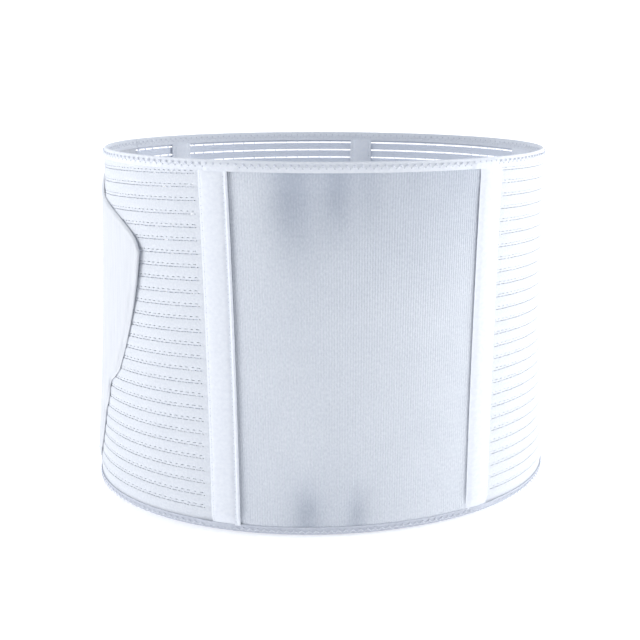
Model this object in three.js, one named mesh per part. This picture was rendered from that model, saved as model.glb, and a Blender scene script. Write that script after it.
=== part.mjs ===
import * as THREE from 'three';

// Abdominal binder, closed into a loop and standing on its bottom hem.
// Millimetres, +Z up, the front panel faces -Y and the closure flap lies on the -X side.
// Places round the loop are measured from the middle of the front, positive towards +X.

// The loop, measured on the outer face of its panels
const height = 250;
const topHalfWidth = 162;
const topHalfDepth = 122.5;
const bottomHalfWidth = 175.5;
const bottomHalfDepth = 135.3;
const waistPull = 2.5;
const hemTuck = 1.6;
const hemTuckHeight = 14;

// Cloth thicknesses and the gap that sewn layers keep
const elasticWall = 2.2;
const frontWall = 1.6;
const flapWall = 1.8;
const tapeWall = 1.1;
const bindingWall = 1.0;
const layerGap = 0.35;
const seamGap = 0.4;

// Front panel and the tapes that cover its two seams
const frontWidthTop = 172;
const frontWidthBottom = 160;
const tapeWidth = 20.5;
const pipingWidth = 2.6;
const pipingRise = 0.9;

// Side and back panels, measured along the top edge
const sideSeam = 242;
const landingStart = 225;
const closureEnd = 289;
const seamBandWidth = 26;
const ribPitch = 8.64;
const backRibPitch = 6.3;
const ribDepth = 0.6;
const firstRibDrop = 8.5;

// Stay tapes inside the back. The spine lies a little towards the closure from the loop's middle.
const stayWidth = 18;
const staySpacing = 162;
const spineShift = 30;

// Bindings along the two edges
const topBindingHeight = 7.5;
const bottomBindingHeight = 7.2;
const bindingRound = 0.5;

// Closure flap: from its sewn root, behind the wearer's side, to its free tip
const flapRoot = 312;
const flapTip = 154;
const flapTopDrop = 18;
const flapBottom = 14;

// Widest angle that one flat facet of the curved wall takes in, in degrees
const facetAngle = 6;

// How far the sides draw in on the way up: shares of the height and of waistPull
const waist = [
  { up: 0, pull: 0 },
  { up: 0.25, pull: 0.75 },
  { up: 0.5, pull: 1 },
  { up: 0.75, pull: 0.75 },
  { up: 1, pull: 0 },
];

// Outline of the flap. Along is a share of the way from tip to root, up a share of the flap's height.
const flapOutline = [
  { topAlong: 0.00, topUp: 0.79, lowAlong: 0.20, lowUp: 0.38 },
  { topAlong: 0.03, topUp: 0.825, lowAlong: 0.25, lowUp: 0.35 },
  { topAlong: 0.10, topUp: 0.86, lowAlong: 0.30, lowUp: 0.32 },
  { topAlong: 0.20, topUp: 0.893, lowAlong: 0.33, lowUp: 0.26 },
  { topAlong: 0.33, topUp: 0.92, lowAlong: 0.375, lowUp: 0.207 },
  { topAlong: 0.42, topUp: 0.935, lowAlong: 0.40, lowUp: 0.155 },
  { topAlong: 0.50, topUp: 0.98, lowAlong: 0.46, lowUp: 0.07 },
  { topAlong: 0.60, topUp: 1.00, lowAlong: 0.58, lowUp: 0.00 },
  { topAlong: 1.00, topUp: 1.00, lowAlong: 1.00, lowUp: 0.00 },
];

// Soft upright folds of the front panel. Across is a share of the panel's width, rise and reach are
// shares of the loop's height, depth and width are shares of foldDepth and of the panel's width.
const foldDepth = 1.4;
const frontFolds = [
  { across: 0.24, rise: 0.85, reach: 0.11, depth: 1.0, width: 0.035 },
  { across: 0.44, rise: 0.86, reach: 0.10, depth: 0.7, width: 0.04 },
  { across: 0.29, rise: 0.09, reach: 0.06, depth: 0.6, width: 0.04 },
  { across: 0.52, rise: 0.09, reach: 0.06, depth: 0.8, width: 0.04 },
];

const lerp = THREE.MathUtils.lerp;

// Heights at which the wall bends, from the floor up
const bends = [...waist.map((row) => row.up * height), hemTuckHeight].sort((p, q) => p - q);

// Half axes of the loop at a height: straight taper, a slight waist and the hem tucked under
function halfAxes(z) {
  const up = z / height;
  const row = Math.max(1, waist.findIndex((section) => section.up >= up));
  const share = THREE.MathUtils.inverseLerp(waist[row - 1].up, waist[row].up, up);
  const pull = waistPull * lerp(waist[row - 1].pull, waist[row].pull, share);
  const tuck = hemTuck * Math.max(0, 1 - z / hemTuckHeight);
  return [
    lerp(bottomHalfWidth, topHalfWidth, up) - pull - tuck,
    lerp(bottomHalfDepth, topHalfDepth, up) - tuck,
  ];
}

// Millimetres of edge for each radian of the loop's ellipse
function edgePerAngle(angle, z) {
  const [a, b] = halfAxes(z);
  return Math.hypot(a * Math.cos(angle), b * Math.sin(angle));
}

// Angle that lies a length along the loop from the middle of the front
function angleAlong(length, z = height) {
  const steps = 200;
  const step = length / steps;
  let angle = 0;
  for (let i = 0; i < steps; i += 1) {
    const halfway = angle + step / 2 / edgePerAngle(angle, z);
    angle += step / edgePerAngle(halfway, z);
  }
  return angle;
}

// A point on the wall. Offset is outwards from the panels' outer face.
function wallPoint(angle, z, offset) {
  const [a, b] = halfAxes(z);
  const normal = new THREE.Vector3(Math.sin(angle) / a, -Math.cos(angle) / b, 0).normalize();
  return new THREE.Vector3(a * Math.sin(angle), -b * Math.cos(angle), z).addScaledVector(normal, offset);
}

// A closed solid lofted through sections of equally many points. End faces index one section.
function loft(sections, endFaces) {
  const count = sections[0].length;
  const positions = sections.flat().flatMap((point) => point.toArray());
  const index = [];
  for (let s = 0; s < sections.length - 1; s += 1) {
    for (let p = 0; p < count; p += 1) {
      const next = (p + 1) % count;
      const here = s * count;
      const there = here + count;
      index.push(here + p, there + p, there + next, here + p, there + next, here + next);
    }
  }
  const last = (sections.length - 1) * count;
  for (const [i, j, k] of endFaces) {
    index.push(i, j, k, last + k, last + j, last + i);
  }
  const geometry = new THREE.BufferGeometry();
  geometry.setAttribute('position', new THREE.Float32BufferAttribute(positions, 3));
  geometry.setIndex(index);
  geometry.computeVertexNormals();
  return geometry;
}

function evenShares(steps) {
  return Array.from({ length: steps + 1 }, (_, i) => i / steps);
}

function mix(from, to, share) {
  const between = {};
  for (const key of Object.keys(from)) between[key] = lerp(from[key], to[key], share);
  return between;
}

// Columns of a piece between the rows of its outline, no further apart than a facet.
// A row has the angle and height of its top end and of its low end.
function columnsThrough(rows) {
  const facet = THREE.MathUtils.degToRad(facetAngle);
  const columns = rows.slice(1).flatMap((row, i) => {
    const before = rows[i];
    const topSpan = Math.abs(row.topAngle - before.topAngle);
    const lowSpan = Math.abs(row.lowAngle - before.lowAngle);
    const steps = Math.max(1, Math.ceil(Math.max(topSpan, lowSpan) / facet));
    return evenShares(steps).slice(0, -1).map((share) => mix(before, row, share));
  });
  columns.push(rows.at(-1));
  return columns.map((column, i) => ({ ...column, share: i / (columns.length - 1) }));
}

// Triangles that fill the cut edge of a layer, climbing its outer and inner rows side by side
function cutEdge(outerUps, innerUps) {
  const last = outerUps.length + innerUps.length - 1;
  const faces = [];
  let o = 0;
  let i = 0;
  while (o < outerUps.length - 1 || i < innerUps.length - 1) {
    if ((outerUps[o + 1] ?? Infinity) <= (innerUps[i + 1] ?? Infinity)) {
      faces.push([o, o + 1, last - i]);
      o += 1;
    } else {
      faces.push([o, last - i - 1, last - i]);
      i += 1;
    }
  }
  return faces;
}

// A cloth layer over its columns. Outer and inner give a face's offset at a column and a height share.
function layer(columns, { outer, inner, outerUps, innerUps = outerUps }) {
  const sections = columns.map((column) => {
    const at = (up, offset) => wallPoint(
      lerp(column.lowAngle, column.topAngle, up),
      lerp(column.lowZ, column.topZ, up),
      offset(column, up),
    );
    return [
      ...outerUps.map((up) => at(up, outer)),
      ...innerUps.toReversed().map((up) => at(up, inner)),
    ];
  });
  return loft(sections, cutEdge(outerUps, innerUps));
}

// An upright line on the wall, by its length along the loop at the top and, where it slants, at the bottom
function place(alongTop, alongBottom) {
  const top = angleAlong(alongTop);
  return { top, bottom: alongBottom === undefined ? top : angleAlong(alongBottom, hemTuckHeight) };
}

function beside(line, by) {
  return {
    top: line.top + by / edgePerAngle(line.top, height),
    bottom: line.bottom + by / edgePerAngle(line.bottom, 0),
  };
}

function turned(line, angle) {
  return { top: line.top + angle, bottom: line.bottom + angle };
}

// Columns of a panel between two upright lines
function between(from, to, low, high) {
  return columnsThrough([from, to].map((line) => ({
    topAngle: line.top,
    topZ: high,
    lowAngle: line.bottom,
    lowZ: low,
  })));
}

// Height shares of a panel's rows: its ends, the wall's bends and any heights of its own
function upsBetween(low, high, own = []) {
  const inside = [...bends, ...own].filter((z) => z > low && z < high).sort((p, q) => p - q);
  return [low, ...inside, high].map((z) => (z - low) / (high - low));
}

// Heights of the panels inside the bindings, and of what lies between the bindings
const panelLow = bindingWall + layerGap;
const panelHigh = height - bindingWall - layerGap;
const openLow = bottomBindingHeight + layerGap;
const openHigh = height - topBindingHeight - layerGap;

const rightFrontEdge = place(frontWidthTop / 2, frontWidthBottom / 2);
const leftFrontEdge = place(-frontWidthTop / 2, -frontWidthBottom / 2);
const rightFrontSeam = beside(rightFrontEdge, tapeWidth / 2);
const leftFrontSeam = beside(leftFrontEdge, -tapeWidth / 2);
const backSeam = place(sideSeam);
const closureSeam = place(-closureEnd);
const landingSeam = place(-landingStart);
const fullTurn = 2 * Math.PI;

// Smooth knitted front panel with a few soft folds
function frontPanel() {
  const outerFace = frontWall - elasticWall;
  const foldAt = (column, up) => frontFolds.reduce((sum, fold) => {
    const across = (column.share - fold.across) / fold.width;
    const rise = (up - fold.rise) / fold.reach;
    return sum - foldDepth * fold.depth * Math.exp(-across * across) * Math.max(0, 1 - rise * rise);
  }, 0);
  const foldRows = frontFolds.flatMap(({ rise, reach }) => [rise - reach, rise, rise + reach]);
  const from = beside(leftFrontSeam, seamGap / 2);
  const to = beside(rightFrontSeam, -seamGap / 2);
  return layer(between(from, to, panelLow, panelHigh), {
    outer: (column, up) => outerFace + foldAt(column, up),
    inner: (column, up) => outerFace - frontWall + foldAt(column, up),
    outerUps: upsBetween(panelLow, panelHigh, foldRows.map((up) => lerp(panelLow, panelHigh, up))),
  });
}

// Ribbed elastic: a groove at each openwork line and a crest halfway to the next
function ribbedPanel(from, to, pitch) {
  const grooves = [];
  for (let z = height - firstRibDrop; z > openLow + pitch / 2; z -= pitch) grooves.push(z);
  const crests = grooves.map((z) => z - pitch / 2);
  const grooveAt = (z) => {
    const away = Math.min(...grooves.map((groove) => Math.abs(groove - z)));
    return -ribDepth * Math.max(0, 1 - away / (pitch / 2));
  };
  const columns = between(beside(from, seamGap / 2), beside(to, -seamGap / 2), panelLow, panelHigh);
  return layer(columns, {
    outer: (_, up) => grooveAt(lerp(panelLow, panelHigh, up)),
    inner: () => -elasticWall,
    outerUps: upsBetween(panelLow, panelHigh, [...grooves, ...crests]),
    innerUps: upsBetween(panelLow, panelHigh),
  });
}

// Plain landing that the closure flap fastens on
function landingPanel() {
  const from = beside(closureSeam, seamGap / 2);
  const to = beside(landingSeam, -seamGap / 2);
  return layer(between(from, to, panelLow, panelHigh), {
    outer: () => 0,
    inner: () => -elasticWall,
    outerUps: upsBetween(panelLow, panelHigh),
  });
}

// Tape over a front seam, with a raised piping along its front edge
function frontTape(frontEdge, side) {
  const pipingShare = pipingWidth / tapeWidth;
  const rows = [0, pipingShare / 2, pipingShare, 1].map((across) => {
    const line = beside(frontEdge, side * across * tapeWidth);
    return { topAngle: line.top, topZ: openHigh, lowAngle: line.bottom, lowZ: openLow, across };
  });
  const bead = ({ across }) => (Math.abs(across - pipingShare / 2) < pipingShare / 4 ? pipingRise : 0);
  return layer(columnsThrough(side > 0 ? rows : rows.toReversed()), {
    outer: (column) => layerGap + tapeWall + bead(column),
    inner: () => layerGap,
    outerUps: upsBetween(openLow, openHigh),
  });
}

// Flat band sewn on the inner face of the wall
function innerBand(middle, width) {
  const columns = between(beside(middle, -width / 2), beside(middle, width / 2), openLow, openHigh);
  return layer(columns, {
    outer: () => -elasticWall - layerGap,
    inner: () => -elasticWall - layerGap - tapeWall,
    outerUps: upsBetween(openLow, openHigh),
  });
}

// Folded binding round an edge of the loop, from one closure end to the other
function binding(edgeZ, legZ) {
  const outside = layerGap + bindingWall;
  const inside = -elasticWall - layerGap - bindingWall;
  const inwards = Math.sign(legZ - edgeZ);
  const webZ = edgeZ + inwards * bindingWall;
  const roundZ = edgeZ + inwards * bindingRound;
  const outline = [
    [outside, legZ],
    [outside, roundZ],
    [outside - bindingRound, edgeZ],
    [inside + bindingRound, edgeZ],
    [inside, roundZ],
    [inside, legZ],
    [inside + bindingWall, legZ],
    [inside + bindingWall, webZ],
    [outside - bindingWall, webZ],
    [outside - bindingWall, legZ],
  ];
  const profile = inwards < 0 ? outline : outline.toReversed();
  const from = beside(closureSeam, seamGap / 2).top;
  const to = beside(closureSeam, -seamGap / 2).top + fullTurn;
  const sections = evenShares(Math.ceil(360 / facetAngle)).map((share) => profile.map(
    ([offset, z]) => wallPoint(lerp(from, to, share), z, offset),
  ));
  const flat = profile.map(([offset, z]) => new THREE.Vector2(offset, z));
  return loft(sections, THREE.ShapeUtils.triangulateShape(flat, []));
}

// Closure flap, lying on the landing and the ribbed side
function closureFlap() {
  const at = (along, up) => {
    const z = lerp(flapBottom, height - flapTopDrop, up);
    return { z, angle: -angleAlong(lerp(flapTip, flapRoot, along), z) };
  };
  const rows = flapOutline.map((row) => {
    const top = at(row.topAlong, row.topUp);
    const low = at(row.lowAlong, row.lowUp);
    return { topAngle: top.angle, topZ: top.z, lowAngle: low.angle, lowZ: low.z };
  });
  return layer(columnsThrough(rows.toReversed()), {
    outer: () => layerGap + flapWall,
    inner: () => layerGap,
    outerUps: evenShares(6),
  });
}

function cloth(color, roughness) {
  return new THREE.MeshStandardMaterial({ color, roughness, metalness: 0 });
}

const knit = cloth(0xd3d8e6, 0.9);
const elastic = cloth(0xe9ebf3, 0.85);
const tape = cloth(0xf1f2f7, 0.8);
const binder = new THREE.Group();

function add(name, geometry, material) {
  const mesh = new THREE.Mesh(geometry, material);
  mesh.name = name;
  binder.add(mesh);
}

add('front_panel', frontPanel(), knit);
add('front_tape_left', frontTape(leftFrontEdge, -1), tape);
add('front_tape_right', frontTape(rightFrontEdge, 1), tape);
add('side_panel_left', ribbedPanel(landingSeam, leftFrontSeam, ribPitch), elastic);
add('side_panel_right', ribbedPanel(rightFrontSeam, backSeam, ribPitch), elastic);
add('landing_panel', landingPanel(), elastic);
add('back_panel', ribbedPanel(backSeam, turned(closureSeam, fullTurn), backRibPitch), elastic);
add('side_seam_band', innerBand(backSeam, seamBandWidth), tape);
add('stay_tape_left', innerBand(turned(place(spineShift + staySpacing / 2), Math.PI), stayWidth), tape);
add('stay_tape_right', innerBand(turned(place(spineShift - staySpacing / 2), Math.PI), stayWidth), tape);
add('top_binding', binding(height, height - topBindingHeight), tape);
add('bottom_binding', binding(0, bottomBindingHeight), tape);
add('closure_flap', closureFlap(), knit);

// The origin is the middle of the footprint
const box = new THREE.Box3().setFromObject(binder);
const middle = box.getCenter(new THREE.Vector3());
binder.position.set(-middle.x, -middle.y, -box.min.z);

export default binder;
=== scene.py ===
# %% [markdown]
# # An abdominal binder
# The object is a wide belt of white cloth, closed into a loop and standing on its hem. A smooth
# knitted panel covers the front. Ribbed elastic with lines of openwork runs round the sides and
# the back, and a plain flap comes round the left side to close the loop.
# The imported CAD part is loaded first. It fixes every place and size, and each cloth piece below
# replaces the plain solid of the same part.

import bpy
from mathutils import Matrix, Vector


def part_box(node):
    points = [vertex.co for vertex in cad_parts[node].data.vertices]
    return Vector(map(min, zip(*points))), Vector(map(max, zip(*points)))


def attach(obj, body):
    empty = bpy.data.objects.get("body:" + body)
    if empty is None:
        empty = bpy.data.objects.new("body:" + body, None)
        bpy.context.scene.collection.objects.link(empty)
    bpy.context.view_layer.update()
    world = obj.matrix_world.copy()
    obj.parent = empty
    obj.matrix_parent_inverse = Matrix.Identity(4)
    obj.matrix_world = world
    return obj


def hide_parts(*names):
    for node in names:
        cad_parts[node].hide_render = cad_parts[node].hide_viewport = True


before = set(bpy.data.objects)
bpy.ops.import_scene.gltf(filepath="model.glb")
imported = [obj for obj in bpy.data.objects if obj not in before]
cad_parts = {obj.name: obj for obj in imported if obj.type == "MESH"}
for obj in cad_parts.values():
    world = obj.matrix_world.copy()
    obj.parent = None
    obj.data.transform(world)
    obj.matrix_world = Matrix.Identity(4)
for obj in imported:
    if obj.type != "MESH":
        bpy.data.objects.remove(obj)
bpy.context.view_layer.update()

# %% The other modules
import math

import bpy
import numpy as np
from mathutils import Matrix, Vector

# %% [markdown]
# ## The wall that every piece follows
# All the cloth lies on one curved wall: an ellipse that widens towards the floor, drawn in a little
# at the waist and tucked under at the hem. A place on it is an angle, a height and a distance
# outwards. The angle is 0 in the middle of the front and grows towards +X.
# Cloth could be simulated over a form, but this belt stands by itself and its panels are smooth,
# so a formula gives the shape exactly, and the CAD solids follow the same one.

# %% Driving sizes of the wall, in metres
mm = 0.001
top_half_width, top_half_depth = 162 * mm, 122.5 * mm
bottom_half_width, bottom_half_depth = 175.5 * mm, 135.3 * mm
waist_pull = 2.5 * mm
hem_tuck, hem_tuck_height = 1.6 * mm, 14 * mm
rim_low, rim_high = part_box("top_binding")
height = rim_high.z
axis_x = (rim_low.x + rim_high.x) / 2
print("height", round(height, 4), "axis at x", round(axis_x, 5))


# %% Places on the wall
def half_axes(z):
    """Half width and half depth of the loop at a height."""
    up = z / height
    pull = waist_pull * 4 * up * (1 - up)
    tuck = hem_tuck * np.clip(1 - z / hem_tuck_height, 0, 1)
    wide = bottom_half_width + (top_half_width - bottom_half_width) * up - pull - tuck
    deep = bottom_half_depth + (top_half_depth - bottom_half_depth) * up - tuck
    return wide, deep


def outwards(angle, z):
    """Level direction that the wall faces at a place."""
    wide, deep = half_axes(z)
    x, y = np.sin(angle) / wide, -np.cos(angle) / deep
    size = np.hypot(x, y)
    return np.stack(np.broadcast_arrays(x / size, y / size, 0 * z), -1)


def wall(angle, z, out=0.0):
    """Points at an angle and a height, a distance outwards of the panels' outer face."""
    angle, z, out = np.broadcast_arrays(angle, z, out)
    wide, deep = half_axes(z)
    flat = np.stack([axis_x + wide * np.sin(angle), -deep * np.cos(angle), z], -1)
    return flat + out[..., None] * outwards(angle, z)


def edge_per_angle(angle, z):
    """Length of wall for each radian at a place."""
    wide, deep = half_axes(z)
    return np.hypot(wide * np.cos(angle), deep * np.sin(angle))


def angle_along(length, z=height, steps=96):
    """Angle that lies a length round the loop from the middle of the front."""
    length, z = np.broadcast_arrays(np.asarray(length, float), np.asarray(z, float))
    angle, step = np.zeros(length.shape), length / steps
    for _ in range(steps):
        halfway = angle + step / 2 / edge_per_angle(angle, z)
        angle = angle + step / edge_per_angle(halfway, z)
    return angle


girth_angles = np.radians(np.linspace(-360, 360, 1441))
girth_steps = np.diff(girth_angles) * edge_per_angle(
    (girth_angles[1:] + girth_angles[:-1]) / 2, height / 2
)
girth_lengths = np.concatenate([[0], np.cumsum(girth_steps)])
girth_lengths -= np.interp(0, girth_angles, girth_lengths)
girth = np.interp(math.tau, girth_angles, girth_lengths)
print("length round the loop at half height", round(float(girth), 4))

# %% [markdown]
# ## Upright lines
# Panels meet at upright seams. A seam is written as the two angles that it has at the floor and at
# the rim, because the front panel is narrower below and its seams slant.

# %% The seams, by their length round the rim from the middle of the front
front_half_top, front_half_bottom = 86 * mm, 80 * mm
tape_width = 20.5 * mm
side_seam, landing_seam, closure_seam = 242 * mm, -225 * mm, -289 * mm
flap_root, flap_tip = -312 * mm, -154 * mm
spine_shift, stay_spacing = 30 * mm, 162 * mm


def upright(top, bottom=None):
    """A line's angles at the floor and at the rim, from its lengths round the loop there."""
    rim = float(angle_along(top))
    foot = rim if bottom is None else float(angle_along(bottom, hem_tuck_height))
    return np.array([foot, rim])


def beside(line, by):
    """The line moved round the loop by a length."""
    return line + by / edge_per_angle(line, np.array([0.0, height]))


def line_at(line, z):
    """Angle of a line at a height."""
    return line[0] + (line[1] - line[0]) * z / height


front_edges = {
    "left": upright(-front_half_top, -front_half_bottom),
    "right": upright(front_half_top, front_half_bottom),
}
front_seams = {
    "left": beside(front_edges["left"], -tape_width / 2),
    "right": beside(front_edges["right"], tape_width / 2),
}
side_line, landing_line, closure_line = map(upright, (side_seam, landing_seam, closure_seam))
stay_lines = {
    "left": upright(spine_shift + stay_spacing / 2) + math.pi,
    "right": upright(spine_shift - stay_spacing / 2) + math.pi,
}
print("seams at the rim, degrees", np.degrees([front_seams["right"][1], side_line[1]]).round(1))

# %% [markdown]
# ## From points to cloth
# A piece of cloth is a thin closed shell. Its outer face is a grid of points, columns round the
# loop and rows up it, and its inner face is the same grid a wall's thickness further in. Four
# strips close the edges. Solidify would do this too, but here each face can have its own relief.
# The cloth's pattern follows the surface, so each piece gets a UV map in metres: round the loop
# and up.

# %% Closed shells and their UV map
closing_angle = float(closure_line[1])


def lay_pattern(mesh, cut=closing_angle):
    """UV map in metres. The pattern starts at the cut angle, where no piece passes."""
    places = np.empty(len(mesh.vertices) * 3)
    mesh.vertices.foreach_get("co", places)
    x, y, z = places.reshape(-1, 3).T
    wide, deep = half_axes(np.clip(z, 0, height))
    angle = np.arctan2((x - axis_x) / wide, -y / deep)
    angle = (angle - cut + 0.01) % math.tau + cut - 0.01
    corners = np.empty(len(mesh.loops), int)
    mesh.loops.foreach_get("vertex_index", corners)
    pattern = np.stack([np.interp(angle, girth_angles, girth_lengths), z], -1)[corners]
    layer = mesh.uv_layers.get("cloth") or mesh.uv_layers.new(name="cloth")
    layer.data.foreach_set("uv", pattern.ravel())


def shown(name, mesh, crease=60.0):
    """A smooth object with this mesh, sharp only where faces turn more than the crease, in degrees."""
    mesh.name = name
    mesh.shade_smooth()
    mesh.set_sharp_from_angle(angle=math.radians(crease))
    piece = bpy.data.objects.new(name, mesh)
    bpy.context.scene.collection.objects.link(piece)
    return piece


def grid_faces(columns, rows, first=0):
    """Quads of a grid of points that are numbered up each column, from the first one."""
    here = first + np.arange((columns - 1) * rows).reshape(-1, rows)[:, :-1].ravel()
    return np.stack([here, here + rows, here + rows + 1, here + 1], -1)


def closed_cloth(name, outer, inner, cut=closing_angle, lengths=None):
    """Shell between two grids of points, shaped (columns, rows, 3).

    Where lengths are given, one for each column, the pattern runs with the columns.
    """
    columns, rows, _ = outer.shape
    count = columns * rows
    places = np.concatenate([outer.reshape(-1, 3), inner.reshape(-1, 3)])
    c, r = np.arange(columns - 1) * rows, np.arange(rows - 1)
    foot, rim, last = c, c + rows - 1, (columns - 1) * rows
    faces = [
        grid_faces(columns, rows),
        grid_faces(columns, rows, count)[:, ::-1],
        np.stack([foot + rows, foot, foot + count, foot + rows + count], -1),
        np.stack([rim, rim + rows, rim + rows + count, rim + count], -1),
        np.stack([r, r + 1, r + 1 + count, r + count], -1),
        np.stack([last + r + 1, last + r, last + r + count, last + r + 1 + count], -1),
    ]
    mesh = bpy.data.meshes.new(name)
    mesh.from_pydata(places.tolist(), [], np.concatenate(faces).tolist())
    lay_pattern(mesh, cut)
    if lengths is not None:
        corners = np.empty(len(mesh.loops), int)
        mesh.loops.foreach_get("vertex_index", corners)
        pattern = np.stack([np.tile(np.repeat(lengths, rows), 2), places[:, 2]], -1)[corners]
        mesh.uv_layers["cloth"].data.foreach_set("uv", pattern.ravel())
    return shown(name, mesh)


def rows_between(low, high, step):
    """Heights from low to high, about a step apart."""
    return np.linspace(low, high, max(2, round((high - low) / step) + 1))


def angles_between(left, right, shares, z):
    """Angles of columns between two upright lines, at each height."""
    from_line, to_line = line_at(left, z)[None, :], line_at(right, z)[None, :]
    return from_line + (to_line - from_line) * shares[:, None]


def bump(distance, width):
    """1 in the middle, falling smoothly to nothing a few widths away."""
    return np.exp(-((distance / width) ** 2))


def eased(share):
    """From 0 to 1 with soft ends."""
    share = np.clip(share, 0, 1)
    return share * share * (3 - 2 * share)


# %% [markdown]
# ## Writing node trees as sums
# Shaders and Geometry Nodes share the same maths. A small class wraps a socket, and its operators
# add Math nodes, so a formula reads like one in Python. Any other node comes from one method.


# %% A bench for building node trees
class Wire:
    """A socket in a node tree. Sums on wires add Math nodes."""

    def __init__(self, bench, socket):
        self.bench, self.socket = bench, socket

    def __add__(self, other):
        return self.bench.math("ADD", self, other)

    def __mul__(self, other):
        return self.bench.math("MULTIPLY", self, other)

    def __sub__(self, other):
        return self.bench.math("SUBTRACT", self, other)

    def __rsub__(self, other):
        return self.bench.math("SUBTRACT", other, self)

    def __truediv__(self, other):
        return self.bench.math("DIVIDE", self, other)

    def __mod__(self, other):
        return self.bench.math("FLOORED_MODULO", self, other)

    def __pow__(self, other):
        return self.bench.math("POWER", self, other)

    def __lt__(self, other):
        return self.bench.math("LESS_THAN", self, other)

    def __gt__(self, other):
        return self.bench.math("GREATER_THAN", self, other)

    def __abs__(self):
        return self.bench.math("ABSOLUTE", self)

    __radd__ = __add__


class Bench:
    """Adds nodes to one tree."""

    def __init__(self, tree):
        self.tree = tree

    def node(self, kind, settings=None, **inputs):
        """A new node. Settings come first, then inputs by name, with spaces as underscores."""
        made = self.tree.nodes.new(kind)
        for key, value in (settings or {}).items():
            setattr(made, key, value)
        for key, value in inputs.items():
            self.join(made.inputs[key.replace("_", " ")], value)
        return made

    def join(self, socket, value):
        if isinstance(value, Wire):
            self.tree.links.new(value.socket, socket)
        else:
            socket.default_value = value

    def math(self, operation, *values):
        made = self.node("ShaderNodeMath", {"operation": operation})
        for socket, value in zip(made.inputs, values):
            self.join(socket, value)
        return Wire(self, made.outputs[0])

    def wire(self, node, name=0):
        return Wire(self, node.outputs[name])

    def vector(self, operation, first, second):
        made = self.node("ShaderNodeVectorMath", {"operation": operation})
        self.join(made.inputs[0], first)
        self.join(made.inputs[1], second)
        return self.wire(made)

    def scaled(self, vector, by):
        return self.wire(
            self.node("ShaderNodeVectorMath", {"operation": "SCALE"}, Vector=vector, Scale=by)
        )


def wave(bench, along, pitch):
    """Runs from 0 to 1 and back once for each pitch."""
    return bench.math("COSINE", along * (math.tau / pitch)) * 0.5 + 0.5


# %% [markdown]
# ## Fabrics
# White cloth gets its look from small relief and small changes of shade, not from one flat colour.
# Each fabric reads the UV map, so its threads run round and up the belt. A bump carries the
# threads, which are finer than the mesh. The ribs, folds, seams and stitches are real shapes.


# %% The common fabric shader
def fabric(name, light, dark, roughness, relief, sheen, weave):
    """Cloth whose weave function returns a height and a shade, both from about 0 to 1."""
    material = bpy.data.materials.new(name)
    material.use_nodes = True
    tree = material.node_tree
    tree.nodes.clear()
    bench = Bench(tree)
    pattern = bench.node("ShaderNodeUVMap", {"uv_map": "cloth"})
    split = bench.node("ShaderNodeSeparateXYZ", Vector=bench.wire(pattern))
    height_wire, shade = weave(bench, bench.wire(split, "X"), bench.wire(split, "Y"))
    place = bench.wire(bench.node("ShaderNodeTexCoord"), "Object")
    cloudy = bench.node(
        "ShaderNodeTexNoise", Vector=place, Scale=38.0, Detail=3.0, Roughness=0.55
    )
    mixed = bench.node(
        "ShaderNodeMix", {"data_type": "RGBA"},
        Factor=shade * 0.8 + bench.wire(cloudy) * 0.2,
    )
    bench.join(mixed.inputs[6], (*dark, 1))
    bench.join(mixed.inputs[7], (*light, 1))
    raised = bench.node(
        "ShaderNodeBump", Strength=1.0, Distance=relief, Height=height_wire
    )
    cloth = bench.node(
        "ShaderNodeBsdfPrincipled",
        Base_Color=Wire(bench, mixed.outputs[2]),
        Roughness=roughness,
        Normal=bench.wire(raised),
        Sheen_Weight=sheen,
        Sheen_Roughness=0.5,
        Specular_IOR_Level=0.25,
    )
    out = bench.node("ShaderNodeOutputMaterial")
    tree.links.new(cloth.outputs[0], out.inputs["Surface"])
    return material


def speckle(bench, along, up, grain, strength=2.4):
    """Uneven yarn: noise over the cloth's own directions, from about 0 to 1."""
    spot = bench.node("ShaderNodeCombineXYZ", X=along, Y=up)
    noise = bench.node(
        "ShaderNodeTexNoise", Vector=bench.wire(spot), Scale=1 / grain, Detail=2.0
    )
    return (bench.wire(noise) - 0.5) * strength + 0.5


# %% [markdown]
# ### The weaves
# The front is a knit with fine upright columns of loops. The elastic has upright rubber threads
# crossed by the picks of a thicker yarn. The tapes are a firm plain weave, and the flap is brushed
# so that it grips: its surface is a soft even nap. The sewing thread is only a little uneven.


# %% Knit, elastic, tape, brushed flap and sewing thread
knit_rib = 1.8 * mm
# Base shade of the knit, contrast of its yarn, and strength of the shade painted on it.
knit_shade, yarn_contrast, painted_shade_contrast = 0.8, 0.5, 0.65


def knit_weave(bench, along, up):
    """A point attribute paints shade into the knit's folds and along the upper binding."""
    rib = wave(bench, along, knit_rib)
    loops = wave(bench, up, 1.3 * mm) * rib
    rough = speckle(bench, along, up * 0.6, 1.2 * mm)
    painted_shade = bench.wire(bench.node("ShaderNodeAttribute", {"attribute_name": "painted_shade"}), "Fac")
    yarn = (rough * 0.85 + rib * 0.15 - 0.5) * yarn_contrast
    return loops * 0.5 + rib * 0.25 + rough * 0.5, knit_shade + yarn - painted_shade * painted_shade_contrast


def elastic_weave(bench, along, up):
    threads = wave(bench, along, 0.95 * mm)
    picks = wave(bench, up, 0.72 * mm)
    rough = speckle(bench, along, up, 1.5 * mm)
    return threads * 0.45 + picks * 0.25 + rough * 0.5, rough * 0.8 + threads * 0.2


def tape_weave(bench, along, up):
    plain = wave(bench, along + up * 0.5, 0.75 * mm) * wave(bench, up, 0.6 * mm)
    rough = speckle(bench, along, up, 2.6 * mm)
    return plain * 0.6 + rough * 0.4, rough * 0.8 + plain * 0.2


def brushed_weave(bench, along, up):
    nap = speckle(bench, along, up, 0.7 * mm)
    streaks = speckle(bench, along * 6, up * 0.35, 9 * mm)
    return nap * 0.7 + streaks * 0.3, nap * 0.4 + streaks * 0.6


def plain_thread(bench, along, up):
    rough = speckle(bench, along, up, 0.4 * mm)
    return rough, rough


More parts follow.
